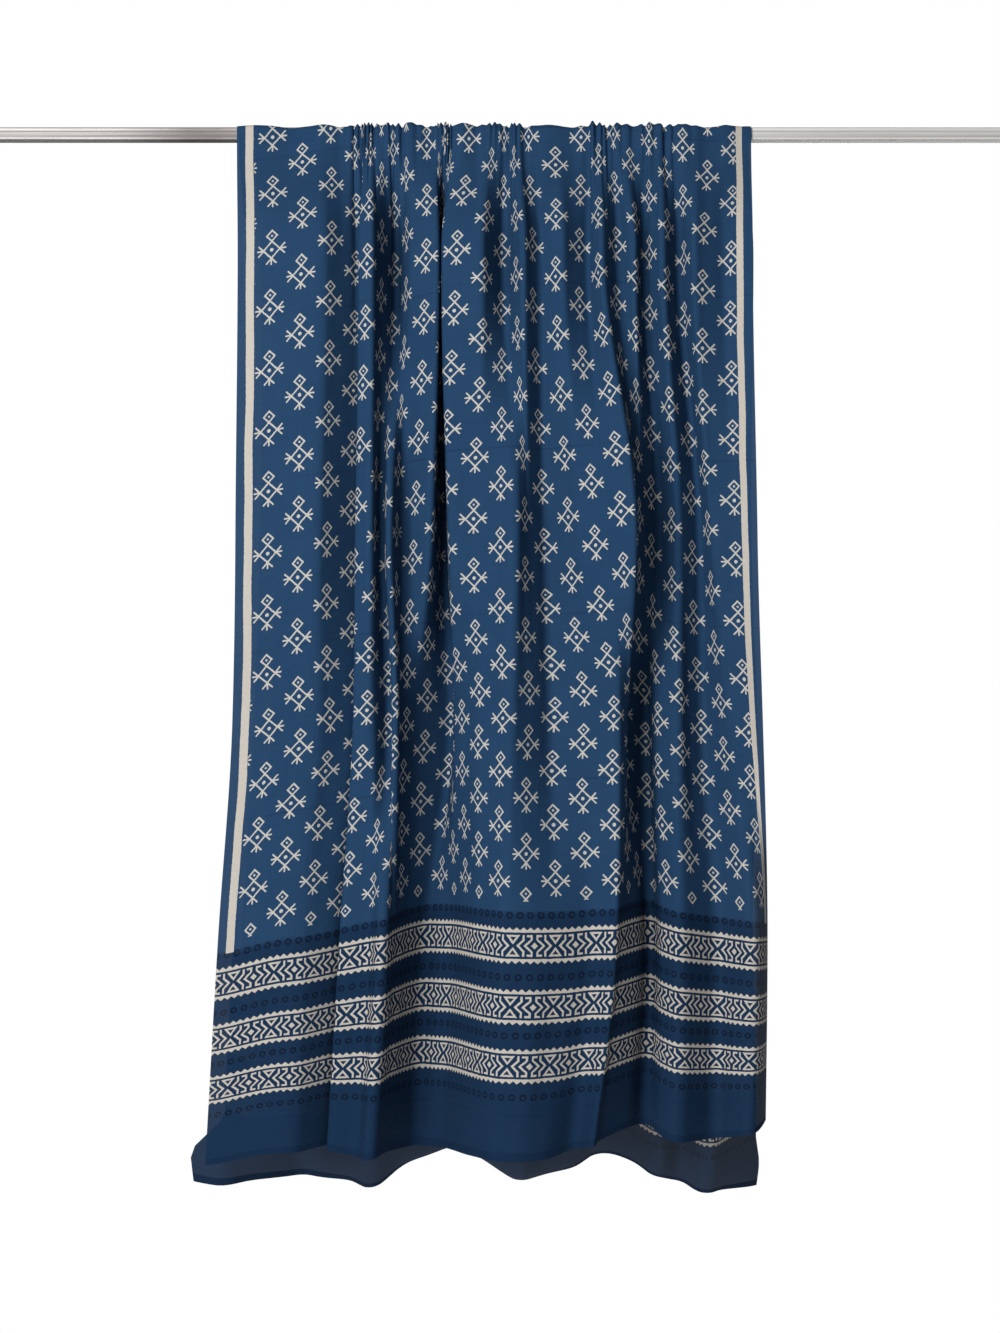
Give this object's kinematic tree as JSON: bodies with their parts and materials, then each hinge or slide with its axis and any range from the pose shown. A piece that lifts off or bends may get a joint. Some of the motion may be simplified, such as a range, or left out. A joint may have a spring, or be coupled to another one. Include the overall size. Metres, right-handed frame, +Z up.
{
  "type": "printed dupatta on a hanging bar",
  "caption": "Long block-printed cotton scarf hung in folds over a straight square bar, with a banded border at each end.",
  "frame": {"origin": "middle of the bar's left end face, seen from the front", "axes": "+X along the bar to the right, +Y away from the front of the cloth, +Z up"},
  "size_m": [1.4, 0.3493, 1.3098],
  "materials": {
    "indigo_cotton": "matt, thin, printed",
    "brushed_steel": "satin"
  },
  "bodies": {
    "root": {"dupatta": "indigo_cotton", "bar": "brushed_steel"}
  },
  "joints": []
}
